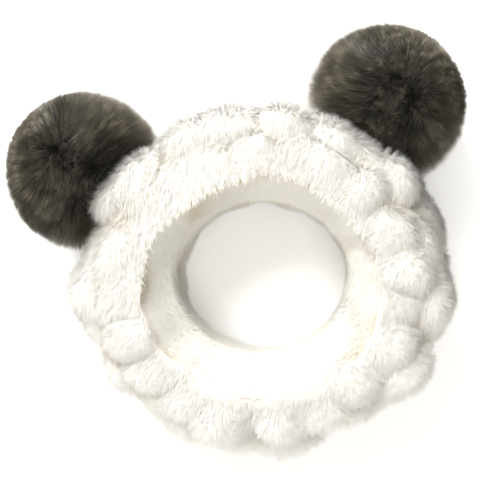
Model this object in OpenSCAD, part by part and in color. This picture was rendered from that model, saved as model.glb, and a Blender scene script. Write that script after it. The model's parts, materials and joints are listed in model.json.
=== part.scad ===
// Animal ears headband: a padded plush loop on an elastic core, with two fur ball ears.
// Frame: the origin is the middle of the head opening, +Z runs along the loop's axis, and
// the two ears sit on either side of +Y. The loop lies flat on its lower edge.
// All sizes are in millimetres, and the fabric is at its relaxed size.

/* [Band] */
// Radius of the relaxed head opening
bore_r = 47; // [40:1:60]
// Thickness of the gathered band, from the head to its outside
band_depth = 54; // [44:1:66]
// Width of the band along the loop's axis
band_h = 76; // [62:1:94]
// Rounding of the band's two edges
edge_round = 21; // [16:1:25]
// Thickness of the outer plush panel with its pile
plush_t = 9; // [6:0.5:11]
// Thickness of the gathered inner lining
lining_t = 8; // [5:0.5:10]

/* [Elastic] */
// Width of the elastic tape
elastic_w = 25; // [18:1:32]
// Thickness of the elastic tape
elastic_t = 1.4; // [1:0.1:2]
// Room between the lining and the elastic
elastic_gap = 0.5; // [0.3:0.1:1]
// Length over which the tape's two ends lie on each other
elastic_overlap = 18; // [14:1:24]

/* [Ears] */
// Diameter of a fur ball
ear_d = 92; // [76:1:110]
// Angle of each ear from +Y, round the loop
ear_angle = 47.5; // [38:0.5:56]
// How deep an ear presses the outside of the band flat
ear_press = 13; // [9:1:16]
// Distance from that flat to the middle of the ball
ear_sit = 28; // [23:0.5:34]
// Diameter of the stuffing ball
stuffing_d = 50; // [40:1:60]
// How far an ear tilts to each side, in degrees
ear_tilt = 18; // [10:1:21]
// Height of a resting ear over the surface that the band lies on
ear_clear = 1; // [0.5:0.5:4]

/* [Ties] */
// Radius of the knot that an ear turns on
knot_r = 4.2; // [3.5:0.1:5]
// Radius of the bundle of tie threads through the plush
tie_r = 2.5; // [2:0.1:3]
// Radius of the flat knot behind the plush
anchor_r = 6.5; // [5:0.5:8]
// Thickness of that flat knot
anchor_t = 2.4; // [2:0.1:3]
// Wall of the thread ring that draws the fur pouch shut
gather_t = 3.2; // [2.4:0.1:4]
// Running clearance between the knot and what turns on it
knot_gap = 0.05; // [0.03:0.01:0.08]
// Gap between an ear's knot and the flat of the band
knot_rise = 0.8; // [0.5:0.1:1.5]

/* [Stitches] */
// Thickness of the sewing thread
thread_d = 0.9; // [0.6:0.1:1.2]
// Length of one seam stitch
stitch_l = 6; // [4:0.5:8]
// Distance between stitches along the edge seams
stitch_pitch = 4.6; // [3.5:0.1:6]
// Distance between stitches across the closing seam
closing_pitch = 4; // [3:0.5:6]
// Stitches along and across the box that joins the elastic
box_across = 5; // [4:1:7]

/* [Hidden] */
$fn = 96;
eps = 0.01;
outer_r = bore_r + band_depth;
half_h = band_h / 2;
seam_r = bore_r + edge_round;              // the two panels meet on the crest of each edge
edge_t = (plush_t + lining_t) / 2;         // wall at the crests, where the panels meet
cavity_round = edge_round - edge_t;
flat_r = outer_r - ear_press;              // distance of an ear's flat from the loop's axis
pivot_r = flat_r + knot_r + knot_rise;
ear_r = ear_d / 2;
ear_z = ear_clear + ear_r - half_h;        // an ear lies on the same surface as the band
ball_w = flat_r + ear_sit - pivot_r;       // from the knot to the middle of the ball
gather_r = knot_r + knot_gap + gather_t;
gather_low = -knot_r * 0.36;
gather_high = gather_r * 0.86;
combined_tilt = acos(cos(ear_tilt) * cos(ear_tilt));  // both tilts together
relief_angle = combined_tilt + 1;
relief_start = -1.2;                       // where the fur's underside leaves the gather ring
elastic_r = bore_r + lining_t + elastic_gap;
stuffing_gap = 0.2;
stuffing_w = gather_high + 3 + stuffing_d / 2;
ears = [["left", 90 + ear_angle], ["right", 90 - ear_angle]];
closing_angle = -90;

// ---- shapes that repeat ----

// A rectangle from x0 to x1 and z0 to z1 with round corners, as exact arcs.
module rounded_section(x0, x1, half, r) {
    translate([x0 + r, -half]) square([x1 - x0 - 2 * r, 2 * half]);
    translate([x0, -half + r]) square([x1 - x0, 2 * (half - r)]);
    for (x = [x0 + r, x1 - r], z = [-half + r, half - r]) translate([x, z]) circle(r);
}

module band_section() {
    rounded_section(bore_r, outer_r, half_h, edge_round);
}

module cavity_section() {
    rounded_section(bore_r + lining_t, outer_r - plush_t, half_h - edge_t, cavity_round);
}

// The half space outside a plane that stands square to an ear's direction.
module outside_of(distance) {
    side = 3 * outer_r;
    for (ear = ears) rotate(ear[1]) translate([distance, -side / 2, -side / 2]) cube(side);
}

// Puts its children at an ear's knot, with their +Z away from the band.
module at_ear(angle) {
    rotate(angle) translate([pivot_r, 0, ear_z]) rotate([0, 90, 0]) children();
}

module ring_of_stitches(z) {
    count = round(2 * PI * seam_r / stitch_pitch);
    for (i = [0 : count - 1])
        rotate(i * 360 / count) translate([seam_r - stitch_l / 2, 0, z])
            rotate([0, 90, 0]) cylinder(d = thread_d, h = stitch_l, $fn = 16);
}

// Stitches that lie along the loop, one above the other.
module column_of_stitches(r, half) {
    count = floor(2 * half / closing_pitch);
    for (i = [0 : count])
        rotate(closing_angle) translate([r, stitch_l / 2, (i - count / 2) * closing_pitch])
            rotate([90, 0, 0]) cylinder(d = thread_d, h = stitch_l, $fn = 16);
}

// ---- the band ----

module plush_cover() {
    color("white") difference() {
        rotate_extrude() difference() {
            band_section();
            square([2 * seam_r, 4 * half_h], center = true);
        }
        difference() {
            rotate_extrude() cavity_section();
            outside_of(flat_r - plush_t);
        }
        outside_of(flat_r);
        for (ear = ears) at_ear(ear[1]) translate([0, 0, -2 * plush_t]) cylinder(r = tie_r, h = 2 * plush_t);
    }
}

module lining() {
    color("ivory") rotate_extrude() intersection() {
        difference() {
            band_section();
            cavity_section();
        }
        square([2 * seam_r, 4 * half_h], center = true);
    }
}

module tape(r, angle) {
    rotate_extrude(angle = angle) translate([r, -elastic_w / 2]) square([elastic_t, elastic_w]);
}

module elastic_band() {
    lap = elastic_overlap / elastic_r * 180 / PI;
    color("gainsboro") union() {
        tape(elastic_r, 360);
        rotate(closing_angle - lap / 2) tape(elastic_r + elastic_t - eps, lap);
    }
}

// A box of stitches with a cross in it, through both layers of the lap.
module elastic_overlap_stitches() {
    long = 0.7 * elastic_overlap;
    high = 0.7 * elastic_w;
    steps = box_across - 1;
    color("white") for (i = [0 : steps], j = [0 : steps])
        if (i == 0 || j == 0 || i == steps || j == steps || i == j || i + j == steps)
            rotate(closing_angle + (i / steps - 0.5) * long / elastic_r * 180 / PI)
                translate([elastic_r - thread_d / 4, 0, (j / steps - 0.5) * high])
                    rotate([0, 90, 0]) cylinder(d = thread_d, h = 2 * elastic_t + thread_d / 2, $fn = 16);
}

module upper_edge_seam() {
    color("white") ring_of_stitches(half_h - edge_t / 2);
}

module lower_edge_seam() {
    color("white") ring_of_stitches(-half_h + edge_t / 2);
}

module closing_seam() {
    color("white") {
        column_of_stitches(outer_r - plush_t / 2, half_h - edge_round);
        column_of_stitches(bore_r + lining_t / 2, half_h - edge_round);
    }
}

// ---- one ear ----

// The bundle of tie threads through the plush, cupped under the knot, with its flat knot inside.
module ear_anchor(angle) {
    wall_out = flat_r - pivot_r;
    color("dimgray") at_ear(angle) difference() {
        union() {
            translate([0, 0, wall_out - plush_t - anchor_t]) cylinder(r = anchor_r, h = anchor_t);
            translate([0, 0, wall_out - plush_t - eps])
                cylinder(r = tie_r, h = plush_t + eps + knot_rise + knot_r * 0.15);
        }
        sphere(knot_r + knot_gap);
    }
}

module ear_knot(angle) {
    color("dimgray") at_ear(angle) sphere(knot_r);
}

// The drawn-up mouth of the fur pouch with the thread wound round it.
module ear_gather_ring(angle) {
    color("dimgray") at_ear(angle) intersection() {
        difference() {
            sphere(gather_r);
            sphere(knot_r + knot_gap);
        }
        translate([0, 0, gather_low]) cylinder(r = 2 * gather_r, h = gather_high - gather_low);
    }
}

// A ball of fur with a coned underside, so that it can tilt on the band without biting into it.
module ear_fur(angle) {
    wide = 1.2 * ear_r;
    color("dimgray") at_ear(angle) difference() {
        translate([0, 0, ball_w]) sphere(ear_r);
        rotate_extrude() polygon([
            [0, relief_start],
            [gather_r, relief_start],
            [gather_r + wide, relief_start + wide * tan(relief_angle)],
            [gather_r + wide, -2 * ear_r],
            [0, -2 * ear_r]
        ]);
        sphere(gather_r);
        translate([0, 0, stuffing_w]) sphere(stuffing_d / 2 + stuffing_gap);
    }
}

module ear_stuffing(angle) {
    color("whitesmoke") at_ear(angle) translate([0, 0, stuffing_w]) sphere(d = stuffing_d);
}

plush_cover();
lining();
elastic_band();
elastic_overlap_stitches();
upper_edge_seam();
lower_edge_seam();
closing_seam();
for (ear = ears) {
    ear_anchor(ear[1]);
    ear_knot(ear[1]);
    ear_gather_ring(ear[1]);
    ear_fur(ear[1]);
    ear_stuffing(ear[1]);
}
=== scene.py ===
# %% [markdown]
# # Animal ears headband
# A stretch headband made of two plush panels gathered on an elastic, with two fur ball ears.
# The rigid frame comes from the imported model: every piece made here rides on one of its bodies.
# The work is done in metres. +Z is the loop's axis, and the ears sit on either side of +Y.

# %% Load the frame
import json
import math
from functools import partial

import bmesh
import bpy
import numpy as np
from mathutils import Matrix, Vector, noise


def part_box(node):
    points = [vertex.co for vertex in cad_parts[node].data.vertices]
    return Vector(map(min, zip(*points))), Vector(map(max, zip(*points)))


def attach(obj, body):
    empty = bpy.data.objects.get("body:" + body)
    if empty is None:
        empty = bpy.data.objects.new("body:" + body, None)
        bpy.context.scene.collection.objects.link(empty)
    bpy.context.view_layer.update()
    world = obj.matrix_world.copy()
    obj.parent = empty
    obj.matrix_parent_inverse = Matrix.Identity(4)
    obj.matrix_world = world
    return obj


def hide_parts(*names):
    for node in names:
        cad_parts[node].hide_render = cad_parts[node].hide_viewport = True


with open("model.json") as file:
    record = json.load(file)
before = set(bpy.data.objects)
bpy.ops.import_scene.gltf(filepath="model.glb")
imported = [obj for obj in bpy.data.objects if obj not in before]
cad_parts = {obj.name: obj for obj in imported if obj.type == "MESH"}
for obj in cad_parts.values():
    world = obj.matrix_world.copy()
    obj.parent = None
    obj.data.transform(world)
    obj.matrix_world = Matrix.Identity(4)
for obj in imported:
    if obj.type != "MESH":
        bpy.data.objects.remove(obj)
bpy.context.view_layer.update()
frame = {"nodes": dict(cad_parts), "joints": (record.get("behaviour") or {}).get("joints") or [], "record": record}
scene = bpy.context.scene

# %% [markdown]
# The sizes below are read from the frame, so that the soft pieces stay on the rigid ones.
# The head opening's mount gives the relaxed inner wall. The boxes of the two panels give the
# outside, the width and the seam where the panels meet.

# %% Sizes of the band
mounts = {m["name"]: m for m in frame["record"]["mounts"]}
BORE_R = mounts["head_opening"]["dims"]["r_mm"] / 1000
WALL = mounts["head_opening"]["dims"]["length_mm"] / 1000
low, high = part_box("plush_cover")
OUTER_R = -low[1]
HALF_H = high[2]
SEAM_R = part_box("lining")[1][0]
EDGE = HALF_H - WALL / 2
print(f"bore {BORE_R:.4f} seam {SEAM_R:.4f} outside {OUTER_R:.4f}")
print(f"half width {HALF_H:.4f} rounding {EDGE:.4f}")

# %% [markdown]
# The view looks almost straight down the loop's axis, as a shop lays such a band on a table.
# The ears point a little to the left of the top, so the camera is rolled about its own view.

# %% Camera
VIEW_ROLL = math.radians(12)
VIEW_DISTANCE = 0.6
VIEW_WIDTH = 0.281
SENSOR = 36
RIGHT = Vector((math.cos(-VIEW_ROLL), math.sin(-VIEW_ROLL), 0))
UP = Vector((math.sin(VIEW_ROLL), math.cos(VIEW_ROLL), 0))
aim = RIGHT * -0.0076 + UP * 0.0143
lean = Vector((0, 0, 1)) + RIGHT * math.tan(math.radians(4)) + UP * math.tan(math.radians(2))
back = lean.normalized()
camera_data = bpy.data.cameras.new("view")
camera = bpy.data.objects.new("view", camera_data)
scene.collection.objects.link(camera)
sideways = UP.cross(back).normalized()
upward = back.cross(sideways)
camera.matrix_world = Matrix((
    (sideways.x, upward.x, back.x, aim.x + back.x * VIEW_DISTANCE),
    (sideways.y, upward.y, back.y, aim.y + back.y * VIEW_DISTANCE),
    (sideways.z, upward.z, back.z, aim.z + back.z * VIEW_DISTANCE),
    (0, 0, 0, 1),
))
camera_data.sensor_width = SENSOR
camera_data.lens = SENSOR * VIEW_DISTANCE / VIEW_WIDTH
camera_data.clip_start = 0.01
scene.camera = camera
print("camera at", tuple(round(c, 3) for c in camera.location))

# %% [markdown]
# White plush needs a bright, soft room. One wide lamp stands beyond the ears, which lights the
# crests and leaves the folds in shade. Their warm beige comes partly from the warm sky and partly
# from painted shade in the pile's colour. Three weaker lamps and a pale sky fill the rest.

# %% Floor and lights
FLOOR_SIDE = 3.0
floor_z = -HALF_H - 0.0005
floor_mesh = bpy.data.meshes.new("floor")
floor_mesh.from_pydata(
    [(x * FLOOR_SIDE, y * FLOOR_SIDE, floor_z) for x, y in ((-1, -1), (1, -1), (1, 1), (-1, 1))],
    [], [(0, 1, 2, 3)])
floor = bpy.data.objects.new("floor", floor_mesh)
scene.collection.objects.link(floor)
pale_floor = bpy.data.materials.new("pale_floor")
pale_floor.use_nodes = True
floor_look = pale_floor.node_tree.nodes["Principled BSDF"].inputs
floor_look["Base Color"].default_value = (0.95, 0.95, 0.945, 1)
floor_look["Roughness"].default_value = 0.9
# a light table: the floor gives back a little light of its own, which opens the shadows
floor_look["Emission Color"].default_value = (1, 0.99, 0.97, 1)
floor_look["Emission Strength"].default_value = 0.16
floor_mesh.materials.append(pale_floor)


def soft_lamp(name, place, side, power, colour):
    lamp_data = bpy.data.lights.new(name, "AREA")
    lamp_data.size = side
    lamp_data.energy = power
    lamp_data.color = colour
    lamp = bpy.data.objects.new(name, lamp_data)
    scene.collection.objects.link(lamp)
    lamp.location = place
    lamp.rotation_euler = (-Vector(place)).to_track_quat("-Z", "Y").to_euler()


DAYLIGHT, WARM_LIGHT = (1, 0.99, 0.975), (1, 0.98, 0.95)
soft_lamp("window", UP * 0.9 - RIGHT * 0.42 + Vector((0, 0, 0.95)), 0.6, 23, DAYLIGHT)
soft_lamp("fill", UP * -0.12 + RIGHT * 0.1 + Vector((0, 0, 1.3)), 0.7, 5.5, DAYLIGHT)
soft_lamp("rim", UP * 1.15 - RIGHT * 0.35 + Vector((0, 0, 0.3)), 0.5, 7, WARM_LIGHT)
soft_lamp("low_fill", UP * -1.1 - RIGHT * 0.2 + Vector((0, 0, 0.4)), 0.9, 4.5, WARM_LIGHT)
world = bpy.data.worlds.new("room")
world.use_nodes = True
world.node_tree.nodes["Background"].inputs["Color"].default_value = (1, 0.972, 0.912, 1)
world.node_tree.nodes["Background"].inputs["Strength"].default_value = 0.58
scene.world = world
scene.view_settings.view_transform = "Standard"

# %% [markdown]
# Materials, strands and seams are all node trees. A few helpers keep them short: one makes an
# empty tree, one adds a node and wires it, and one runs a tree on a mesh and keeps what it makes.

# %% Node helpers
def new_tree(kind, name, inputs, outputs):
    """An empty node tree, its group inputs' sockets, and its group output node."""
    tree = bpy.data.node_groups.new(name, kind)
    for label, socket_type, value in inputs:
        socket = tree.interface.new_socket(
            label, in_out="INPUT", socket_type="NodeSocket" + socket_type)
        if value is not None:
            socket.default_value = value
    for label, socket_type in outputs:
        tree.interface.new_socket(label, in_out="OUTPUT", socket_type="NodeSocket" + socket_type)
    return tree, tree.nodes.new("NodeGroupInput").outputs, tree.nodes.new("NodeGroupOutput")


def wire(tree, node, inputs):
    """Links an input where a socket is given for it, and sets it where a value is."""
    for label, value in inputs.items():
        if isinstance(value, bpy.types.NodeSocket):
            tree.links.new(value, node.inputs[label])
        else:
            node.inputs[label].default_value = value


def add_node(tree, kind, inputs=None, **settings):
    node = tree.nodes.new(kind)
    for label, value in settings.items():
        setattr(node, label, value)
    wire(tree, node, inputs or {})
    return node


def plain_mesh(piece):
    """A piece's mesh with its modifiers applied."""
    view = bpy.context.evaluated_depsgraph_get()
    return bpy.data.meshes.new_from_object(piece.evaluated_get(view))


def run_tree(tree, mesh, name, values):
    """Runs a geometry tree on a mesh, and returns what it makes as one plain mesh."""
    holder = bpy.data.objects.new(name + "_base", mesh)
    scene.collection.objects.link(holder)
    modifier = holder.modifiers.new(tree.name, "NODES")
    modifier.node_group = tree
    for item in tree.interface.items_tree:
        if item.in_out == "INPUT" and item.name in values:
            modifier[item.identifier] = values[item.name]
    made = plain_mesh(holder)
    bpy.data.objects.remove(holder)
    return made


# %% [markdown]
# Fur, pile and thread share one effect: soft patches where the fibres lie differently. It is a
# node group, so each material can set its own patch size and depth. It puts out a mask only.
# The colours and the shader stay in the materials.

# %% Shared effect: uneven nap
nap_group, nap_in, nap_out = new_tree(
    "ShaderNodeTree", "uneven_nap",
    [("Patch Scale", "Float", 60.0), ("Fibre Scale", "Float", 900.0), ("Fibre Share", "Float", 0.35)],
    [("Patches", "Float"), ("Fibres", "Float")])
coords = add_node(nap_group, "ShaderNodeTexCoord").outputs["Object"]
patches = add_node(
    nap_group, "ShaderNodeTexNoise", {"Vector": coords, "Scale": nap_in["Patch Scale"], "Detail": 3})
fibres = add_node(
    nap_group, "ShaderNodeTexNoise", {"Vector": coords, "Scale": nap_in["Fibre Scale"], "Detail": 2})
shared = add_node(
    nap_group, "ShaderNodeMix",
    {"Factor": nap_in["Fibre Share"], "A": patches.outputs["Fac"], "B": fibres.outputs["Fac"]})
wire(nap_group, nap_out, {"Patches": shared.outputs["Result"], "Fibres": fibres.outputs["Fac"]})


def colour_ramp(tree, source, stops):
    ramp = add_node(tree, "ShaderNodeValToRGB", {"Fac": source})
    while len(ramp.color_ramp.elements) < len(stops):
        ramp.color_ramp.elements.new(0.5)
    for element, (place, colour) in zip(ramp.color_ramp.elements, stops):
        element.position = place
        element.color = (*colour, 1)
    return ramp.outputs["Color"]


def add_relief(tree, height, distance, strength):
    relief = add_node(
        tree, "ShaderNodeBump", {"Height": height, "Distance": distance, "Strength": strength})
    wire(tree, tree.nodes["Principled BSDF"], {"Normal": relief.outputs["Normal"]})


def napped_material(name, stops, patch=60.0, fibre=900.0, roughness=0.8, sheen=0.3,
                    sheen_tint=(1, 1, 1), specular=0.3, bump=0.0, along=0.0, strand=0.0, fold=0.0):
    """A fibre material. strand mixes in a strand's own shade, along how far a point is from its
    root. The last amount mixes in how high a point stands between a crease and a crest: painted
    shade, which makes the colour darker, warmer beige down in the creases."""
    material = bpy.data.materials.new(name)
    material.use_nodes = True
    tree = material.node_tree
    nap = add_node(
        tree, "ShaderNodeGroup", {"Patch Scale": patch, "Fibre Scale": fibre}, node_tree=nap_group)
    source = nap.outputs["Patches"]
    # the crease height is painted shade: low points take the ramp's darker beige stops
    for attribute, amount in (("shade", strand), ("along", along), ("fold", fold)):
        if amount:
            carried = add_node(tree, "ShaderNodeAttribute", attribute_name=attribute).outputs["Fac"]
            mixed = add_node(tree, "ShaderNodeMix", {"Factor": amount, "A": source, "B": carried})
            source = mixed.outputs["Result"]
    wire(tree, tree.nodes["Principled BSDF"], {
        "Base Color": colour_ramp(tree, source, stops), "Roughness": roughness,
        "Specular IOR Level": specular, "Sheen Weight": sheen, "Sheen Tint": (*sheen_tint, 1),
        "Sheen Roughness": 0.5})
    if bump:
        add_relief(tree, nap.outputs["Fibres"], bump, 0.8)
    return material


# the three white materials take the crease amount: their darker beige stops, reached in the creases, are painted
# shade
white_pile = napped_material(
    "white_pile",
    [(0.14, (0.68, 0.61, 0.49)), (0.36, (0.9, 0.862, 0.782)), (0.62, (0.968, 0.952, 0.91))],
    along=0.35, strand=0.3, fold=0.5, specular=0.0, sheen=0.06)
white_backing = napped_material(
    "white_backing", [(0.25, (0.74, 0.68, 0.57)), (0.6, (0.92, 0.895, 0.84))],
    bump=0.0004, fold=0.6, specular=0.05, sheen=0.1)
lining_pile = napped_material(
    "lining_pile",
    [(0.12, (0.71, 0.63, 0.5)), (0.36, (0.885, 0.838, 0.735)), (0.62, (0.958, 0.934, 0.872))],
    along=0.3, strand=0.25, fold=0.5, specular=0.0, sheen=0.06)
ear_hair = napped_material(
    "ear_hair", [(0.36, (0.0015, 0.0015, 0.0006)), (0.54, (0.01, 0.0093, 0.0048)),
                 (0.7, (0.062, 0.055, 0.036)), (0.85, (0.4, 0.35, 0.265))],
    patch=90.0, along=0.45, strand=0.55, roughness=0.42, sheen=0.28, sheen_tint=(0.8, 0.72, 0.62))
ear_backing = napped_material(
    "ear_backing", [(0.3, (0.016, 0.014, 0.01)), (0.7, (0.05, 0.045, 0.034))], bump=0.0006)
fill_fibre = napped_material(
    "fill_fibre", [(0.3, (0.78, 0.78, 0.76)), (0.7, (0.92, 0.92, 0.9))], bump=0.001)
print("materials", [m.name for m in (white_pile, lining_pile, ear_hair, fill_fibre)], "and backings")

# %% [markdown]
# The band is a soft tube bent into a ring. Its cross-section is a rectangle with round corners.
# Every point of it has a place along the section and a direction that points out of the tube,
# so folds can be raised along that direction.

# %% The section
def section_path(points):
    """Line and arc pieces, each ('line', start, end) or ('arc', centre, radius, from, to)."""
    lengths = []
    for piece in points:
        if piece[0] == "line":
            lengths.append(math.dist(piece[1], piece[2]))
        else:
            lengths.append(abs(piece[4] - piece[3]) * piece[2])
    return points, lengths


def along_section(path, distances, outward):
    """Radius, height and outward direction at each distance along the section."""
    points, lengths = path
    place = np.zeros((len(distances), 2))
    facing = np.zeros((len(distances), 2))
    start = 0.0
    for piece, length in zip(points, lengths):
        here = (distances >= start - 1e-9) & (distances <= start + length + 1e-9)
        share = ((distances[here] - start) / length)[:, None]
        if piece[0] == "line":
            a, b = np.array(piece[1]), np.array(piece[2])
            step = (b - a) / length
            place[here] = a + (b - a) * share
            facing[here] = np.array([-step[1], step[0]]) * outward
        else:
            angle = piece[3] + (piece[4] - piece[3]) * share[:, 0]
            direction = np.stack([np.cos(angle), np.sin(angle)], axis=1)
            place[here] = np.array(piece[1]) + direction * piece[2]
            facing[here] = direction
        start += length
    return place, facing


FLAT_R = OUTER_R - EDGE
FLAT_Z = HALF_H - EDGE
QUARTER = math.pi / 2
cover_path = section_path([
    ("line", (SEAM_R, HALF_H), (FLAT_R, HALF_H)),
    ("arc", (FLAT_R, FLAT_Z), EDGE, QUARTER, 0),
    ("line", (OUTER_R, FLAT_Z), (OUTER_R, -FLAT_Z)),
    ("arc", (FLAT_R, -FLAT_Z), EDGE, 0, -QUARTER),
    ("line", (FLAT_R, -HALF_H), (SEAM_R, -HALF_H)),
])
lining_path = section_path([
    ("arc", (SEAM_R, FLAT_Z), EDGE, QUARTER, 2 * QUARTER),
    ("line", (BORE_R, FLAT_Z), (BORE_R, -FLAT_Z)),
    ("arc", (SEAM_R, -FLAT_Z), EDGE, 2 * QUARTER, 3 * QUARTER),
])
COVER_LONG = sum(cover_path[1])
LINING_LONG = sum(lining_path[1])
print(f"cover section {COVER_LONG:.4f} m, lining section {LINING_LONG:.4f} m")

# %% [markdown]
# An elastic shorter than the fabric gathers it into puffs. Each puff is a dome, and where two
# domes meet the fabric dives into a crease, so the height is the higher of the domes, slightly
# blended. The puffs stand in rows across the band, each one moved, tilted and sized by chance.

# %% Puffs
MOVED_AROUND, MOVED_ACROSS, TILTED = 0.36, 0.25, 0.8
WIDTHS, DEPTHS, HEIGHTS = (0.56, 0.86), (0.62, 0.95), (0.62, 1.12)


def puff_field(around, across, radius, width, columns, rows, height, rng, plump=1.0, blend=900.0):
    """Height of the puffs above their creases, over a grid of around x across points."""
    pitch_u = 2 * math.pi * radius / columns
    pitch_v = width / rows
    u = around[:, None] * radius
    v = across[None, :]
    total = np.zeros((len(around), len(across)))
    drift_u = np.zeros_like(total)
    drift_v = np.zeros_like(total)
    lap = 2 * math.pi * radius
    for row in range(rows):
        for column in range(columns):
            cu = (column + 0.5 * (row % 2) + rng.uniform(-MOVED_AROUND, MOVED_AROUND)) * pitch_u
            cv = (row + 0.5 + rng.uniform(-MOVED_ACROSS, MOVED_ACROSS)) * pitch_v
            ru = pitch_u * rng.uniform(*WIDTHS) * plump
            rv = pitch_v * rng.uniform(*DEPTHS) * plump
            tilt = rng.uniform(-TILTED, TILTED)
            tall = height * rng.uniform(*HEIGHTS)
            du = (u - cu + lap / 2) % lap - lap / 2
            dv = v - cv
            a = (du * math.cos(tilt) + dv * math.sin(tilt)) / ru
            b = (-du * math.sin(tilt) + dv * math.cos(tilt)) / rv
            inside = np.clip(1 - a * a - b * b, 0, None)
            dome = np.exp(tall * np.sqrt(inside) * blend)
            total += dome
            drift_u += dome * du
            drift_v += dome * dv
    heights = np.log(total) / blend
    return heights, drift_u / total, drift_v / total


def wander(points, size, seed):
    """Smooth noise between -1 and 1 at each point."""
    shift = Vector((seed * 7.3, seed * 3.1, seed * 5.7))
    return np.array([noise.noise(Vector(p) / size + shift) for p in points])


# %% [markdown]
# A soft loop doesn't lie like a turned ring. It slumps under its weight, its edges wave, the
# puffs roll over the opening, and what touches the table goes flat. One function does this to
# every point of the ring, so the cover, the lining and their seams stay together.

# %% Settling
def ring_points(around, place, facing, rise):
    """Points of a ring from its section, raised along the section's outward direction."""
    radius = place[None, :, 0] + facing[None, :, 0] * rise
    z = place[None, :, 1] + facing[None, :, 1] * rise
    return np.stack([
        radius * np.cos(around)[:, None], radius * np.sin(around)[:, None],
        np.broadcast_to(z, radius.shape)], axis=2)


WIDER, SPARED_INSIDE, FLATTER, FLATTER_INSIDE = 0.027, 0.8, 0.06, 0.1
SLUMP, WAVE, WAVE_SIZE = 0.006, 0.0045, 0.019
EDGE_START = 0.012
ROLLED, ROLL_WIDTH = 0.007, 0.013
RESTING, PRESSED = 0.0038, 0.0012


def settle(points):
    """The soft loop slumps: wider across, lower towards the ears, and its edges lean and wave."""
    right, up = np.array(RIGHT), np.array(UP)
    radius = np.linalg.norm(points[..., :2], axis=-1)
    inner = np.clip((SEAM_R - radius) / (SEAM_R - BORE_R), 0, 1)
    wider = WIDER * (1 - SPARED_INSIDE * inner)
    flatter = FLATTER + (FLATTER_INSIDE - FLATTER) * inner
    settled = (points + ((points @ right) * wider)[..., None] * right
               - ((points @ up) * flatter)[..., None] * up)
    at_edge = np.clip((np.abs(points[..., 2]) - EDGE_START) / (HALF_H - EDGE_START), 0, 1) ** 1.3
    out = points * np.array([1.0, 1.0, 0.0]) / radius[..., None]
    ring = (out * SEAM_R + np.sign(points[..., 2:]) * np.array([0.0, 0.0, 0.03])).reshape(-1, 3)
    wave = wander(ring, WAVE_SIZE, 12).reshape(radius.shape)
    settled = settled - (SLUMP * at_edge)[..., None] * up + (WAVE * wave * at_edge)[..., None] * out
    # the puffs roll over the opening and take the seam with them
    near_seam = np.exp(-((radius - SEAM_R) / ROLL_WIDTH) ** 2) * at_edge
    settled = settled - (ROLLED * near_seam)[..., None] * out
    # what would go under the floor is pressed flat on it
    over_floor = settled[..., 2] + HALF_H - RESTING
    settled[..., 2] += PRESSED * np.log1p(np.exp(np.clip(-over_floor / PRESSED, -30, 30)))
    return settled


# %% [markdown]
# Both panels are grids of points that close round the loop. These helpers turn a grid into a
# mesh, and put values on its points that the strand tree reads later.

# %% Grids and their values
def ring_faces(columns, rows):
    """Point numbers of a grid closed round a ring, those one column ahead, and its faces."""
    index = np.arange(columns * rows).reshape(columns, rows)
    ahead = np.roll(index, -1, axis=0)
    corners = [index[:, :-1], index[:, 1:], ahead[:, 1:], ahead[:, :-1]]
    return index, ahead, np.stack(corners, axis=2).reshape(-1, 4).tolist()


def grid_mesh(name, points):
    """A mesh from a grid that is closed round the ring."""
    mesh = bpy.data.meshes.new(name)
    mesh.from_pydata(points.reshape(-1, 3).tolist(), [], ring_faces(*points.shape[:2])[2])
    mesh.shade_smooth()
    return mesh


def put(name, mesh, material):
    piece = bpy.data.objects.new(name, mesh)
    scene.collection.objects.link(piece)
    mesh.materials.clear()
    mesh.materials.append(material)
    return piece


def set_vectors(mesh, name, values):
    attribute = mesh.attributes.new(name, "FLOAT_VECTOR", "POINT")
    attribute.data.foreach_set("vector", np.ascontiguousarray(values, dtype=np.float32).ravel())


def set_numbers(mesh, name, values):
    attribute = mesh.attributes.new(name, "FLOAT", "POINT")
    attribute.data.foreach_set("value", np.ascontiguousarray(values, dtype=np.float32).ravel())


def unit(vectors):
    return vectors / np.maximum(np.linalg.norm(vectors, axis=-1, keepdims=True), 1e-9)


# %% [markdown]
# The cover's puffs stand in five rows from seam to seam. A thread pinches the panel at each seam.
# The grid is fine enough for a crease of a few millimetres, and no finer.

# %% Shape of the cover
COVER_COLUMNS, COVER_ROWS = 384, 68
PUFF_COLUMNS, PUFF_ROWS = 22, 5
PUFF_HEIGHT, PUFF_SINK, PUFF_BLEND = 0.019, 0.0192, 600.0
PUFF_RING = OUTER_R - 0.008
SEAM_PINCH, SEAM_DEPTH = 0.003, 0.0045
WOBBLE, WOBBLE_SIZE = 0.002, 0.035
rng = np.random.default_rng(11)
around = np.linspace(0, 2 * math.pi, COVER_COLUMNS, endpoint=False)
across = np.linspace(0, COVER_LONG, COVER_ROWS)
puffs, puff_du, puff_dv = puff_field(
    around, across, PUFF_RING, COVER_LONG, PUFF_COLUMNS, PUFF_ROWS, PUFF_HEIGHT, rng,
    blend=PUFF_BLEND)
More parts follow.
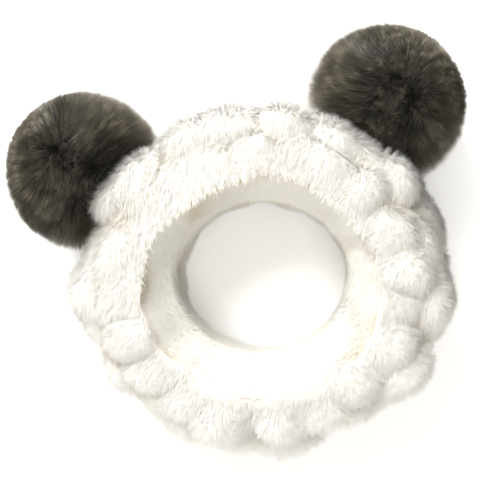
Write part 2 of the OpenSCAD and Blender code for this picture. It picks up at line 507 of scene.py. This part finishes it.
# round the opening the panel isn't drawn in so deep, so the puffs meet the lining without a ledge
OPEN_LEVEL, OPEN_WIDTH, OPEN_BLEND = PUFF_SINK - 0.0045, 0.0125, 600
near_opening = np.exp(-(across / OPEN_WIDTH) ** 2)[None, :]
filled = np.logaddexp(puffs * OPEN_BLEND, OPEN_LEVEL * OPEN_BLEND) / OPEN_BLEND
puffs = puffs * (1 - near_opening) + filled * near_opening
cover_place, cover_facing = along_section(cover_path, across, 1)
seam_pinch = 1 - np.exp(-np.minimum(across, COVER_LONG - across) / SEAM_PINCH)
rise = (puffs - PUFF_SINK) * seam_pinch[None, :] - SEAM_DEPTH * (1 - seam_pinch[None, :])
cover_points = ring_points(around, cover_place, cover_facing, rise)
rise = rise + WOBBLE * wander(cover_points.reshape(-1, 3), WOBBLE_SIZE, 1).reshape(rise.shape)
cover_points = settle(ring_points(around, cover_place, cover_facing, rise))
print(f"puffs from {puffs.min():.4f} to {puffs.max():.4f} m")

# %% [markdown]
# Pile is grown by one Geometry Nodes tree, for plush and for the ears. It scatters roots over
# a surface, sets a three-sided pointed strand on each, and bends it. The surface carries three
# attributes: "grow" is the way its strands point, "reach" how long they are, and "facing" the
# soft skin's own direction. Neighbours lean towards the middle of their own tuft, which is what
# makes real pile look clumped.

# %% The strand tree
def strand_tree():
    tree, given, result = new_tree("GeometryNodeTree", "grow_strands", [
        ("Surface", "Geometry", None), ("Density", "Float", 1e5), ("Seed", "Int", 1),
        ("Width", "Float", 0.0005), ("Shortest", "Float", 0.75), ("Tuft Size", "Float", 0.004),
        ("Tuft Pull", "Float", 0.6), ("Stray", "Float", 0.25), ("Curl", "Float", 0.3),
        ("Tuft Shade", "Float", 0.5), ("Material", "Material", None)], [("Strands", "Geometry")])

    add = partial(add_node, tree)

    def named(name, kind):
        node = add("GeometryNodeInputNamedAttribute", {"Name": name}, data_type=kind)
        return node.outputs["Attribute"]

    def vector_math(operation, a, b):
        second = "Scale" if operation == "SCALE" else 1
        return add("ShaderNodeVectorMath", {0: a, second: b}, operation=operation).outputs[0]

    def number(operation, a, b):
        return add("ShaderNodeMath", {0: a, 1: b}, operation=operation).outputs[0]

    def store(geometry, name, kind, value):
        node = add("GeometryNodeStoreNamedAttribute", None, data_type=kind, domain="POINT")
        wire(tree, node, {"Name": name, "Geometry": geometry, "Value": value})
        return node.outputs["Geometry"]

    def chance(kind, least, most, shift):
        first = 0 if kind == "FLOAT_VECTOR" else 2
        node = add("FunctionNodeRandomValue", {first: least, first + 1: most}, data_type=kind)
        wire(tree, node, {"Seed": number("ADD", given["Seed"], shift)})
        return node.outputs["Value" if kind == "FLOAT_VECTOR" else 1]

    # one strand: a slim three-sided cone, one unit tall, a little plump in the middle
    cone = add("GeometryNodeMeshCone", {
        "Vertices": 3, "Radius Top": 0.0, "Radius Bottom": 0.5, "Depth": 1.0}, fill_type="NGON")
    place = add("GeometryNodeInputPosition").outputs[0]
    split = add("ShaderNodeSeparateXYZ", {0: place})
    height = split.outputs["Z"]
    rest = number("SUBTRACT", 1.0, height)
    fuller = number("ADD", number("MULTIPLY", number("MULTIPLY", height, rest), 2.6), 1.0)
    join = add("ShaderNodeCombineXYZ", {
        "X": number("MULTIPLY", split.outputs["X"], fuller),
        "Y": number("MULTIPLY", split.outputs["Y"], fuller), "Z": height})
    plump = add("GeometryNodeSetPosition", {
        "Geometry": store(cone.outputs["Mesh"], "along", "FLOAT", height),
        "Position": join.outputs[0]})

    # roots, scattered over the surface
    scatter = add("GeometryNodeDistributePointsOnFaces", {
        "Mesh": given["Surface"], "Density": given["Density"], "Seed": given["Seed"]})
    any_way = (-1, -1, -1), (1, 1, 1)
    stray = vector_math("SCALE", chance("FLOAT_VECTOR", *any_way, 5), given["Stray"])
    heading = vector_math("ADD", named("grow", "FLOAT_VECTOR"), stray)
    heading = add("ShaderNodeVectorMath", {0: heading}, operation="NORMALIZE").outputs[0]
    cut = add("ShaderNodeMix", {
        "Factor": chance("FLOAT", 0.0, 1.0, 9), "A": given["Shortest"], "B": 1.0})
    long = number("MULTIPLY", named("reach", "FLOAT"), cut.outputs["Result"])

    # the middle of the tuft that a root belongs to
    cells = add("ShaderNodeTexVoronoi", {
        "Vector": place, "Scale": number("DIVIDE", 1.0, given["Tuft Size"])})
    to_tuft = vector_math("SUBTRACT", cells.outputs["Position"], place)
    curl = vector_math("SCALE", chance("FLOAT_VECTOR", *any_way, 17), given["Curl"])
    bend = vector_math(
        "ADD", vector_math("SCALE", to_tuft, given["Tuft Pull"]), vector_math("SCALE", curl, long))
    tuft_chance = add("ShaderNodeSeparateXYZ", {0: cells.outputs["Color"]})
    shade = add("ShaderNodeMix", {
        "Factor": given["Tuft Shade"], "A": chance("FLOAT", 0.0, 1.0, 23), "B": tuft_chance.outputs[0]})
    roots = store(scatter.outputs["Points"], "bend", "FLOAT_VECTOR", bend)
    roots = store(roots, "skin", "FLOAT_VECTOR", named("facing", "FLOAT_VECTOR"))
    roots = store(roots, "shade", "FLOAT", shade.outputs["Result"])

    turn = add("FunctionNodeAlignRotationToVector", {"Vector": heading}, axis="Z")
    size = add("ShaderNodeCombineXYZ", {"X": given["Width"], "Y": given["Width"], "Z": long})
    plant = add("GeometryNodeInstanceOnPoints", {
        "Points": roots, "Instance": plump.outputs["Geometry"],
        "Rotation": turn.outputs["Rotation"], "Scale": size.outputs[0]})
    real = add("GeometryNodeRealizeInstances", {"Geometry": plant.outputs["Instances"]})
    bent = number("POWER", named("along", "FLOAT"), 1.7)
    droop = add("GeometryNodeSetPosition", {
        "Geometry": real.outputs["Geometry"],
        "Offset": vector_math("SCALE", named("bend", "FLOAT_VECTOR"), bent)})
    finish = add("GeometryNodeSetMaterial", {
        "Geometry": droop.outputs["Geometry"], "Material": given["Material"]})
    wire(tree, result, {"Strands": finish.outputs["Geometry"]})
    return tree


STRANDS = strand_tree()
PILE_STRANDS, LINING_STRANDS, EAR_STRANDS = 40000, 40000, 48500
LEAST_GAP = 0.0003


def grow_strands(name, surface_mesh, count, material, body, slot, softness, **settings):
    """Grows about count strands on a surface, as one plain mesh piece. softness is how far the
    strands take the skin's direction for their shading."""
    area = sum(face.area for face in surface_mesh.polygons)
    grown = run_tree(STRANDS, surface_mesh, name, {
        "Density": count / area, "Material": material, **settings})
    grown.name = name
    # tips that would go through the floor are bent along it
    tips = np.empty(len(grown.vertices) * 3)
    grown.vertices.foreach_get("co", tips)
    tips[2::3] = np.maximum(tips[2::3], floor_z + LEAST_GAP)
    grown.vertices.foreach_set("co", tips)
    skin = np.empty(len(grown.vertices) * 3, dtype=np.float32)
    grown.attributes["skin"].data.foreach_get("vector", skin)
    grown.shade_smooth()
    own = np.empty_like(skin)
    grown.vertex_normals.foreach_get("vector", own)
    mixed = unit(softness * skin.reshape(-1, 3) + (1 - softness) * own.reshape(-1, 3))
    for spent in ("bend", "skin", "grow", "reach", "facing"):
        if spent in grown.attributes:
            grown.attributes.remove(grown.attributes[spent])
    grown.normals_split_custom_set_from_vertices(mixed.tolist())
    piece = bpy.data.objects.new(name, grown)
    scene.collection.objects.link(piece)
    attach(piece, body)
    print(f"{name}: strands on {area * 1e4:.0f} cm2, {len(grown.polygons)} faces")


# %% [markdown]
# A nap has one direction, set by how the panel was cut and brushed. Both panels share the rules
# for it here: down the band as it lies, away from the floor, and never quite regular.

# %% Cloth and nap
def surface_normals(mesh):
    normals = np.empty(len(mesh.vertices) * 3)
    mesh.vertex_normals.foreach_get("vector", normals)
    return normals.reshape(-1, 3)


def thicken(piece, depth):
    """Gives a sheet its fabric thickness, inwards from its face."""
    wall = piece.modifiers.new("thickness", "SOLIDIFY")
    wall.thickness = depth
    wall.offset = -1
    mesh = plain_mesh(piece)
    piece.modifiers.clear()
    piece.data = mesh
    mesh.shade_smooth()


def sector(mesh, points, first, last, inside_out=False):
    """A copy of the part of a ring grid between two columns, with its attributes."""
    columns, rows = points.shape[:2]
    picks = (np.arange(first, last + 1) % columns)
    ids = (picks[:, None] * rows + np.arange(rows)[None, :]).ravel()
    part = bpy.data.meshes.new("sector")
    index = np.arange(len(picks) * rows).reshape(len(picks), rows)
    corners = [index[:-1, :-1], index[:-1, 1:], index[1:, 1:], index[1:, :-1]]
    faces = np.stack(corners, axis=2).reshape(-1, 4)
    part.from_pydata(points.reshape(-1, 3)[ids].tolist(), [], faces.tolist())
    if inside_out:
        part.flip_normals()
    for name in ("grow", "reach", "facing", "fold"):
        source = mesh.attributes[name]
        wide = 3 if source.data_type == "FLOAT_VECTOR" else 1
        values = np.empty(len(mesh.vertices) * wide, dtype=np.float32)
        source.data.foreach_get("vector" if wide == 3 else "value", values)
        values = values.reshape(-1, wide)[ids]
        (set_vectors if wide == 3 else set_numbers)(part, name, values)
    return part


def soften(values, passes):
    """Averages a grid of vectors with its neighbours, round the ring and across it."""
    for _ in range(passes):
        values = (values + np.roll(values, 1, axis=0) + np.roll(values, -1, axis=0)) / 3
        inner = (values[:, :-2] + values[:, 1:-1] + values[:, 2:]) / 3
        values = np.concatenate([values[:, :1], inner, values[:, -1:]], axis=1)
    return values


SIDEWAYS, ALWAYS_INWARDS = 1.4, 0.25
FLOOR_ROOM, FLOOR_EASE = 0.0015, 0.8


def brush_down(points, normals, over, inwards=None):
    """The nap's direction: brushed down the band as it lies, or inwards by the share given."""
    down = np.array(-UP) - (normals @ np.array(-UP))[..., None] * normals
    height = (points @ np.array(UP)) / np.linalg.norm(points[..., :2], axis=-1)
    if inwards is None:
        across_share = -SIDEWAYS * height
    else:
        across_share = inwards * (SIDEWAYS * np.abs(height) + ALWAYS_INWARDS)
    return unit(down + over * across_share[..., None])


def above_floor(points, grow, reach):
    """Turns up the strands that would go through the floor."""
    room = (points[..., 2] + HALF_H - FLOOR_ROOM) / reach
    grow = grow.copy()
    grow[..., 2] = np.maximum(grow[..., 2], -np.maximum(room, 0) * FLOOR_EASE)
    return unit(grow)


def ring_directions(points):
    """Unit vectors along the ring and across it, at each grid point."""
    along = unit(np.roll(points, -1, axis=0) - np.roll(points, 1, axis=0))
    over = np.empty_like(points)
    over[:, 1:-1] = points[:, 2:] - points[:, :-2]
    over[:, 0], over[:, -1] = points[:, 1] - points[:, 0], points[:, -1] - points[:, -2]
    return along, unit(over)


def turn_faces(mesh, points, outwards):
    """Turns a ring's faces out of the loop or into it, and returns its normals."""
    normals = surface_normals(mesh).reshape(points.shape)
    middle = points.shape[1] // 2
    faces_out = (normals[:, middle, :2] * points[:, middle, :2]).sum(axis=1).mean() > 0
    if faces_out != outwards:
        mesh.flip_normals()
        normals = -normals
    return normals


# %% [markdown]
# The cover is the outer panel. Its outside carries the puffs, and it is given the thickness of
# the fabric's backing inwards. The pile then grows from it in sectors, so that each piece of
# pile stays light enough to export.

# %% Plush cover
PILE_LONG = 0.0074
NAP_SIZE, NAP_STRENGTH, PUFF_PARTING = 0.022, 0.45, 0.12
cover_mesh = grid_mesh("plush_cover_cloth", cover_points)
cover_normals = turn_faces(cover_mesh, cover_points, True)
along_ring, over_ring = ring_directions(cover_points)
flat_points = cover_points.reshape(-1, 3)
nap_u = wander(flat_points, NAP_SIZE, 3).reshape(rise.shape)
nap_v = wander(flat_points, NAP_SIZE, 4).reshape(rise.shape)
comb = (brush_down(cover_points, cover_normals, over_ring)
        + along_ring * (nap_u * NAP_STRENGTH + puff_du / PUFF_PARTING)[..., None]
        + over_ring * (nap_v * NAP_STRENGTH + puff_dv / PUFF_PARTING)[..., None])
set_vectors(cover_mesh, "grow", above_floor(cover_points, unit(cover_normals + comb), PILE_LONG))
set_vectors(cover_mesh, "facing", unit(soften(cover_normals, 3)))
# painted shade: where this share is low, down in the creases and at the pinched seams, the pile is coloured darker
# beige
crease, crest = np.percentile(puffs, (4, 55))
crest_share = np.clip((puffs - crease) / (crest - crease), 0, 1) * (0.5 + 0.5 * seam_pinch[None, :])
set_numbers(cover_mesh, "fold", crest_share)
# pile that stands in a crease isn't rubbed, so it stays longer and softens the crease
set_numbers(cover_mesh, "reach", PILE_LONG * (1.15 - 0.2 * crest_share))
PILE_PIECES = 5
COVER_THICK, LINING_THICK = 0.0016, 0.0014
cuts = [round(i * COVER_COLUMNS / PILE_PIECES) for i in range(PILE_PIECES + 1)]
for i in range(PILE_PIECES):
    grow_strands(
        f"plush_pile_{i + 1}", sector(cover_mesh, cover_points, cuts[i], cuts[i + 1]),
        PILE_STRANDS, white_pile, "band", "white_plush", softness=0.8, Seed=20 + i,
        Width=0.00036, Shortest=0.68, Stray=0.2, Curl=0.08,
        **{"Tuft Size": 0.0045, "Tuft Pull": 0.36, "Tuft Shade": 0.6})
cover = put("plush_cover_cloth", cover_mesh, white_backing)
thicken(cover, COVER_THICK)
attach(cover, "band")
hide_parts("plush_cover")
print(f"cover cloth {sum(f.area for f in cover.data.polygons) / 2 * 1e4:.0f} cm2")

# %% [markdown]
# The lining is the panel against the head. It has to slide over hair, so its pile is short, and
# the elastic draws it into broad shallow folds only.

# %% Lining
SLOPE, STANDING = 0.9, 0.2
LINING_PILE_LONG = 0.005
LINING_COLUMNS, LINING_ROWS = 288, 56
FOLD_COLUMNS, FOLD_ROWS, FOLD_HEIGHT, LINING_PINCH = 11, 3, 0.0065, 0.006
lining_around = np.linspace(0, 2 * math.pi, LINING_COLUMNS, endpoint=False)
lining_across = np.linspace(0, LINING_LONG, LINING_ROWS)
folds, _, _ = puff_field(
    lining_around, lining_across, BORE_R + 0.006, LINING_LONG, FOLD_COLUMNS, FOLD_ROWS, FOLD_HEIGHT,
    rng, plump=1.15)
lining_place, lining_facing = along_section(lining_path, lining_across, -1)
lining_pinch = 1 - np.exp(-np.minimum(lining_across, LINING_LONG - lining_across) / LINING_PINCH)
# towards the face the lining is drawn to a straight slope from the seam, and below the band
# stands on its edge, which spreads
ARC_LONG = EDGE * QUARTER
slope_share = np.clip(lining_across / ARC_LONG, 0, 1)[:, None]
slope_line = (np.array([SEAM_R, HALF_H - SEAM_DEPTH]) * (1 - slope_share)
              + np.array([BORE_R, FLAT_Z]) * slope_share)
lining_place = np.where(
    slope_share < 1, slope_line * SLOPE + lining_place * (1 - SLOPE), lining_place)
back_share = np.clip((LINING_LONG - lining_across) / ARC_LONG, 0, 1)
spread = EDGE * (1 - math.cos(QUARTER / 2) / np.cos(back_share * QUARTER - QUARTER / 2)) * STANDING
sunk = np.where(lining_across > LINING_LONG / 2, SEAM_DEPTH, SEAM_DEPTH * (1 - SLOPE))
lining_rise = ((folds - folds.mean() - 0.002) * lining_pinch[None, :] + spread[None, :]
               - (sunk * (1 - lining_pinch))[None, :])
lining_points = settle(ring_points(lining_around, lining_place, lining_facing, lining_rise))
lining_mesh = grid_mesh("lining_cloth", lining_points)
normals = turn_faces(lining_mesh, lining_points, False)
along_ring, over_ring = ring_directions(lining_points)
flat_points = lining_points.reshape(-1, 3)
# near the seam the nap runs on over the cover, and further in it turns towards the opening
NAP_TURN, LINING_NAP_SIZE, LINING_NAP = 0.02, 0.03, 0.35
past_seam = np.clip(lining_across / NAP_TURN, 0, 1)[None, :]
nap_u = wander(flat_points, LINING_NAP_SIZE, 6).reshape(lining_rise.shape)
nap_v = wander(flat_points, LINING_NAP_SIZE, 7).reshape(lining_rise.shape)
comb = (brush_down(lining_points, normals, over_ring, inwards=past_seam)
        + along_ring * LINING_NAP * nap_u[..., None] + over_ring * LINING_NAP * nap_v[..., None])
# painted shade: where this level is low, in the folds' creases and at the pinched seams, the lining is coloured
# darker beige
crease, crest = np.percentile(folds, 3), np.percentile(folds, 50)
lining_level = np.clip((folds - crease) / (crest - crease), 0, 1)
set_numbers(lining_mesh, "fold", lining_level * (0.45 + 0.55 * lining_pinch[None, :]))
lining_grow = above_floor(lining_points, unit(0.8 * normals + comb), LINING_PILE_LONG)
set_vectors(lining_mesh, "grow", lining_grow)
set_vectors(lining_mesh, "facing", unit(soften(normals, 2)))
lining_reach = LINING_PILE_LONG * (0.75 + 0.25 * lining_pinch)
set_numbers(lining_mesh, "reach", np.broadcast_to(lining_reach, lining_rise.shape))
grow_strands(
    "lining_pile", sector(lining_mesh, lining_points, 0, LINING_COLUMNS, inside_out=True),
    LINING_STRANDS, lining_pile, "band", "white_lining", softness=0.82, Seed=51,
    Width=0.00038, Shortest=0.75, Stray=0.2, Curl=0.05,
    **{"Tuft Size": 0.0035, "Tuft Pull": 0.25, "Tuft Shade": 0.6})
lining = put("lining_cloth", lining_mesh, white_backing)
thicken(lining, LINING_THICK)
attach(lining, "band")
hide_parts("lining")
print(f"lining cloth {sum(f.area for f in lining.data.polygons) / 2 * 1e4:.0f} cm2")

# %% [markdown]
# Each ear is a round pouch of long-haired fur, drawn shut by a thread and stuffed. The hair is
# clipped to a ball, so a strand's length is the distance from the pouch to that ball. On the side
# of the band the hair is pressed sideways.

# %% Ears
ball_low, ball_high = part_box("left_ear_fur")
BALL_R = (ball_high[2] - ball_low[2]) / 2
BALL_OUT = 0.0205
POUCH_R, POUCH_OUT = 0.0265, 0.0335
POUCH_COLUMNS, POUCH_ROWS = 72, 46
LUMP, LUMP_SIZE, LUMP_BALL = 0.03, 0.018, 0.03
NECK_R, NECK_OUT, MOUTH_OUT, MOUTH_START = 0.0078, 0.0055, 0.0062, 2.2
BAND_FACE, PRESS_ROUND = OUTER_R - 0.006, 0.005
BULGE, BULGE_START, BULGE_END = 0.45, 0.016, 0.03
HAIR_SHORTEST, HAIR_LONGEST, HAIR_STEP = 0.003, 0.034, 0.0006
SWIRL, SWIRL_SIZE = 1.2, 0.019
AWAY_START, AWAY = 0.25, 0.9


def ear_frame(side):
    """The knot's place, and the way out of the band, round it and up, for one ear."""
    joint = next(j for j in frame["joints"] if j["name"] == f"{side}_ear_swing")
    knot = np.array(joint["pos_m"])
    out = unit(np.array([knot[0], knot[1], 0.0]))
    up = np.array([0.0, 0.0, 1.0])
    return knot, out, np.cross(up, out), up


def ball_grid(columns, rows):
    """Directions over a whole ball, from its outer pole to the pole at the band."""
    turn = np.linspace(0, 2 * math.pi, columns, endpoint=False)
    polar = np.linspace(0, math.pi, rows + 2)[1:-1]
    return turn, polar


def ball_mesh(name, points, first, last):
    """Closes a grid of columns x rows points with a pole at each end."""
    columns, rows = points.shape[:2]
    index, ahead, quads = ring_faces(columns, rows)
    tip, mouth = columns * rows, columns * rows + 1
    caps = [(tip, int(index[i, 0]), int(ahead[i, 0])) for i in range(columns)]
    caps += [(mouth, int(ahead[i, -1]), int(index[i, -1])) for i in range(columns)]
    mesh = bpy.data.meshes.new(name)
    mesh.from_pydata(points.reshape(-1, 3).tolist() + [first.tolist(), last.tolist()], [], quads + caps)
    mesh.shade_smooth()
    return mesh


def hair_reach(roots, grow, knot, out):
    """How far a hair goes from its root before it meets the clipped ball or the band's side."""
    centre = knot + out * BALL_OUT
    reach = np.full(len(roots), HAIR_SHORTEST)
    growing = np.ones(len(roots), bool)
    for step in np.arange(HAIR_SHORTEST, HAIR_LONGEST, HAIR_STEP):
        tip = roots + grow * step
        past_ball = np.linalg.norm(tip - centre, axis=1) - BALL_R
        # the puffs at the band's edges push the hair away from them
        bulge = BULGE * np.clip(np.abs(tip[:, 2]) - BULGE_START, 0, BULGE_END)
        past_band = BAND_FACE + bulge - np.linalg.norm(tip[:, :2], axis=1)
        # the rim between the ball and its pressed side is round, not sharp
        overlap = np.clip(0.5 + 0.5 * (past_ball - past_band) / PRESS_ROUND, 0, 1)
        past = past_ball * overlap + past_band * (1 - overlap) + PRESS_ROUND * overlap * (1 - overlap)
        growing &= past < 0
        reach[growing] = step
    return reach


# %% [markdown]
# The hair is grown in two halves, so that each piece stays light enough to export. A hair leaves
# the pouch in a wide swirl, and near the neck it turns away from the band.

# %% The two ears
def make_ear(side, seed):
    knot, out, round_way, up = ear_frame(side)
    body = f"{side}_ear"
    turn, polar = ball_grid(POUCH_COLUMNS, POUCH_ROWS)
    direction = (np.cos(polar)[None, :, None] * out
                 + np.sin(polar)[None, :, None] * (np.cos(turn)[:, None, None] * round_way
                                                   + np.sin(turn)[:, None, None] * up))
    centre = knot + out * POUCH_OUT
    lumps = wander((direction * LUMP_BALL).reshape(-1, 3) + centre, LUMP_SIZE, seed)
    radius = POUCH_R * (1 + LUMP * lumps.reshape(direction.shape[:2]))
    # the pouch narrows to its drawn mouth at the neck
    to_mouth = np.clip((polar - MOUTH_START) / (math.pi - MOUTH_START), 0, 1)[None, :, None]
    points = centre + direction * radius[..., None]
    mouth_ring = (knot + out * NECK_OUT + NECK_R * 0.75
                  * (np.cos(turn)[:, None, None] * round_way + np.sin(turn)[:, None, None] * up))
    points = points * (1 - to_mouth ** 2) + mouth_ring * to_mouth ** 2
    mesh = ball_mesh(f"{side}_ear_pouch", points, centre + out * POUCH_R, knot + out * MOUTH_OUT)
    roots = np.array([v.co for v in mesh.vertices])
    normals = surface_normals(mesh)
    if ((roots - centre) * normals).sum() < 0:
        mesh.flip_normals()
        normals = -normals
    swirl = np.stack([wander(roots, SWIRL_SIZE, seed + k) for k in (2, 3, 4)], axis=1)
    swirl -= (swirl * normals).sum(axis=1, keepdims=True) * normals
    grow = unit(normals + SWIRL * swirl)
    inward = np.minimum(grow @ out + AWAY_START, 0)[:, None]
    grow = unit(grow - inward * out * AWAY)
    set_vectors(mesh, "grow", grow)
    set_vectors(mesh, "facing", normals)
    set_numbers(mesh, "reach", hair_reach(roots, grow, knot, out))
    faces_out = np.array([p.center for p in mesh.polygons])
    half = (faces_out - centre) @ up
    for part, wanted in (("upper", half >= 0), ("lower", half < 0)):
        copy = mesh.copy()
        chosen = set(np.nonzero(~wanted)[0].tolist())
        cut = bmesh.new()
        cut.from_mesh(copy)
        cut.faces.ensure_lookup_table()
        bmesh.ops.delete(cut, geom=[cut.faces[i] for i in chosen], context="FACES")
        cut.to_mesh(copy)
        cut.free()
        grow_strands(
            f"{side}_ear_hair_{part}", copy, EAR_STRANDS, ear_hair, body, "dark_fur", softness=0.28,
            Seed=seed * 10 + len(part), Width=0.00034, Shortest=0.92, Stray=0.07, Curl=0.03,
            **{"Tuft Size": 0.0024, "Tuft Pull": 0.5, "Tuft Shade": 0.62})
    pouch = put(f"{side}_ear_pouch", mesh, ear_backing)
    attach(pouch, body)
    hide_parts(f"{side}_ear_fur")


make_ear("left", 5)
make_ear("right", 9)

# %% [markdown]
# Some rigid pieces are right as they are: the elastic tape, its overlap's stitches and the ties.
# They only need the finish of what they are made of. Thread is twisted and tape is woven, so both
# get fine ribs from a wave, with the same uneven nap over it.

# %% Elastic and thread materials
def ribbed_material(name, stops, ribs, axis, depth):
    material = napped_material(name, stops, patch=120.0, fibre=1500.0, roughness=0.6, sheen=0.2)
    tree = material.node_tree
    wave = add_node(tree, "ShaderNodeTexWave", {
        "Vector": add_node(tree, "ShaderNodeTexCoord").outputs["Object"],
        "Scale": ribs, "Distortion": 1.5}, bands_direction=axis)
    add_relief(tree, wave.outputs["Fac"], depth, 0.7)
    return material


elastic_weave = ribbed_material(
    "elastic_weave", [(0.3, (0.80, 0.79, 0.76)), (0.7, (0.90, 0.895, 0.87))], 150.0, "Z", 0.0003)
white_thread = ribbed_material(
    "white_thread", [(0.3, (0.82, 0.80, 0.75)), (0.7, (0.92, 0.91, 0.88))], 700.0, "DIAGONAL", 0.0002)
dark_thread = ribbed_material(
    "dark_thread", [(0.3, (0.02, 0.018, 0.013)), (0.7, (0.055, 0.05, 0.038))], 500.0, "DIAGONAL",
    0.0003)

# %% [markdown]
# Each seam is a row of overcast loops: the thread goes round both panels' edges again and again.
# A row of loops on a path is what Geometry Nodes are for. The path runs in the crease where the
# two panels meet, and each loop turns with it.

# %% Overcast seams
def seam_tree():
    tree, given, result = new_tree("GeometryNodeTree", "sew_seam", [
        ("Seam", "Geometry", None), ("Count", "Int", 90), ("Across", "Float", 0.004),
        ("Depth", "Float", 0.003), ("Thread", "Float", 0.0009), ("Material", "Material", None)],
        [("Stitches", "Geometry")])

    add = partial(add_node, tree)

    path = add("GeometryNodeMeshToCurve", {"Mesh": given["Seam"]})
    even = add("GeometryNodeResampleCurve", {"Curve": path.outputs["Curve"], "Count": given["Count"]})
    # one loop of thread, across the seam and down into it
    size = add("ShaderNodeCombineXYZ", {"X": 2.0, "Y": given["Across"], "Z": given["Depth"]})
    half = add("ShaderNodeVectorMath", {0: size.outputs[0], "Scale": 0.5}, operation="SCALE")
    loop = add("GeometryNodeCurvePrimitiveCircle", {"Resolution": 10, "Radius": 1.0})
    stand = add("GeometryNodeTransform", {
        "Geometry": loop.outputs["Curve"], "Rotation": (0, math.radians(90), 0)})
    shape = add("GeometryNodeTransform", {
        "Geometry": stand.outputs["Geometry"], "Scale": half.outputs[0]})
    radius = add("ShaderNodeMath", {0: given["Thread"], 1: 0.5}, operation="MULTIPLY")
    thread = add("GeometryNodeCurvePrimitiveCircle", {"Resolution": 5, "Radius": radius.outputs[0]})
    sweep = add("GeometryNodeCurveToMesh", {
        "Curve": shape.outputs["Geometry"], "Profile Curve": thread.outputs["Curve"]})
    # a loop turns with the seam, and its open side faces out of the fabric
    tangent = add("GeometryNodeInputTangent").outputs[0]
    onward = add("FunctionNodeAlignRotationToVector", {"Vector": tangent}, axis="X")
    facing = add("GeometryNodeInputNamedAttribute", {"Name": "out"}, data_type="FLOAT_VECTOR")
    outward = add("FunctionNodeAlignRotationToVector", {
        "Rotation": onward.outputs["Rotation"], "Vector": facing.outputs["Attribute"]},
        axis="Z", pivot_axis="X")
    plant = add("GeometryNodeInstanceOnPoints", {
        "Points": even.outputs["Curve"], "Instance": sweep.outputs["Mesh"],
        "Rotation": outward.outputs["Rotation"]})
    real = add("GeometryNodeRealizeInstances", {"Geometry": plant.outputs["Instances"]})
    finish = add("GeometryNodeSetMaterial", {
        "Geometry": real.outputs["Geometry"], "Material": given["Material"]})
    wire(tree, result, {"Stitches": finish.outputs["Geometry"]})
    return tree


SEAM = seam_tree()
STITCH_PITCH, STITCH_DEPTH, STITCH_SINK = 0.0046, 0.003, 0.0036


def sew(name, node, path, outward, closed):
    """Sews a seam just under a path, in place of a CAD node."""
    path = path - outward * STITCH_SINK
    line = bpy.data.meshes.new(name + "_path")
    count = len(path)
    edges = [(k, (k + 1) % count) for k in range(count if closed else count - 1)]
    line.from_pydata(path.tolist(), edges, [])
    set_vectors(line, "out", outward)
    steps = np.roll(path, -1, axis=0) - path if closed else np.diff(path, axis=0)
    long = np.linalg.norm(steps, axis=1).sum()
    stitch_count = int(long / STITCH_PITCH)
    sewn = run_tree(SEAM, line, name, {
        "Count": stitch_count, "Depth": STITCH_DEPTH, "Material": white_thread})
    if "out" in sewn.attributes:
        sewn.attributes.remove(sewn.attributes["out"])
    sewn.shade_smooth()
    stitches = bpy.data.objects.new(name, sewn)
    scene.collection.objects.link(stitches)
    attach(stitches, "band")
    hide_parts(node)
    print(f"{name}: {stitch_count} stitches on {long:.3f} m")


face_up = np.tile(np.array([0.0, 0.0, 1.0]), (COVER_COLUMNS, 1))
sew("upper_seam_stitches", "upper_edge_seam", cover_points[:, 0], face_up, True)
sew("lower_seam_stitches", "lower_edge_seam", cover_points[:, -1], -face_up, True)
nape = int(np.argmin(cover_points[:, COVER_ROWS // 2, 1]))
sew("closing_seam_stitches", "closing_seam", cover_points[nape, 3:-3], cover_normals[nape, 3:-3], False)

# %% [markdown]
# The pieces that keep their rigid shape now get their finish: white tape and thread in the band,
# dark thread in the ears.

# %% Finishes of the hidden pieces
def finish_node(node, material):
    mesh = frame["nodes"][node].data
    mesh.materials.clear()
    mesh.materials.append(material)
    print(node, "has", material.name)


finish_node("elastic_band", elastic_weave)
finish_node("elastic_overlap_stitches", white_thread)
for side in ("left", "right"):
    for part in ("anchor", "knot", "gather_ring"):
        finish_node(f"{side}_ear_{part}", dark_thread)

# %% [markdown]
# The pouch is stuffed with loose fibre. It is a soft lumpy ball, a little smaller than the pouch.

# %% Stuffing
FILL_SHARE, FILL_LUMP, FILL_LUMPS_ACROSS = 0.965, 0.03, 2.6


def make_stuffing(side, seed):
    low_corner, high_corner = (np.array(c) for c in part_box(f"{side}_ear_stuffing"))
    centre, radius = (low_corner + high_corner) / 2, (high_corner[2] - low_corner[2]) / 2
    shaper = bmesh.new()
    bmesh.ops.create_icosphere(shaper, subdivisions=5, radius=1)
    for vertex in shaper.verts:
        lump = noise.fractal(vertex.co * FILL_LUMPS_ACROSS + Vector((seed, 0, 0)), 0.9, 2.1, 4)
        vertex.co = Vector(centre) + vertex.co * radius * (FILL_SHARE + FILL_LUMP * lump)
    mesh = bpy.data.meshes.new(f"{side}_ear_fill")
    shaper.to_mesh(mesh)
    shaper.free()
    mesh.shade_smooth()
    fill = put(f"{side}_ear_fill", mesh, fill_fibre)
    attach(fill, f"{side}_ear")
    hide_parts(f"{side}_ear_stuffing")
    print(f"{side} fill: radius {radius:.4f} m")


make_stuffing("left", 3)
make_stuffing("right", 8)
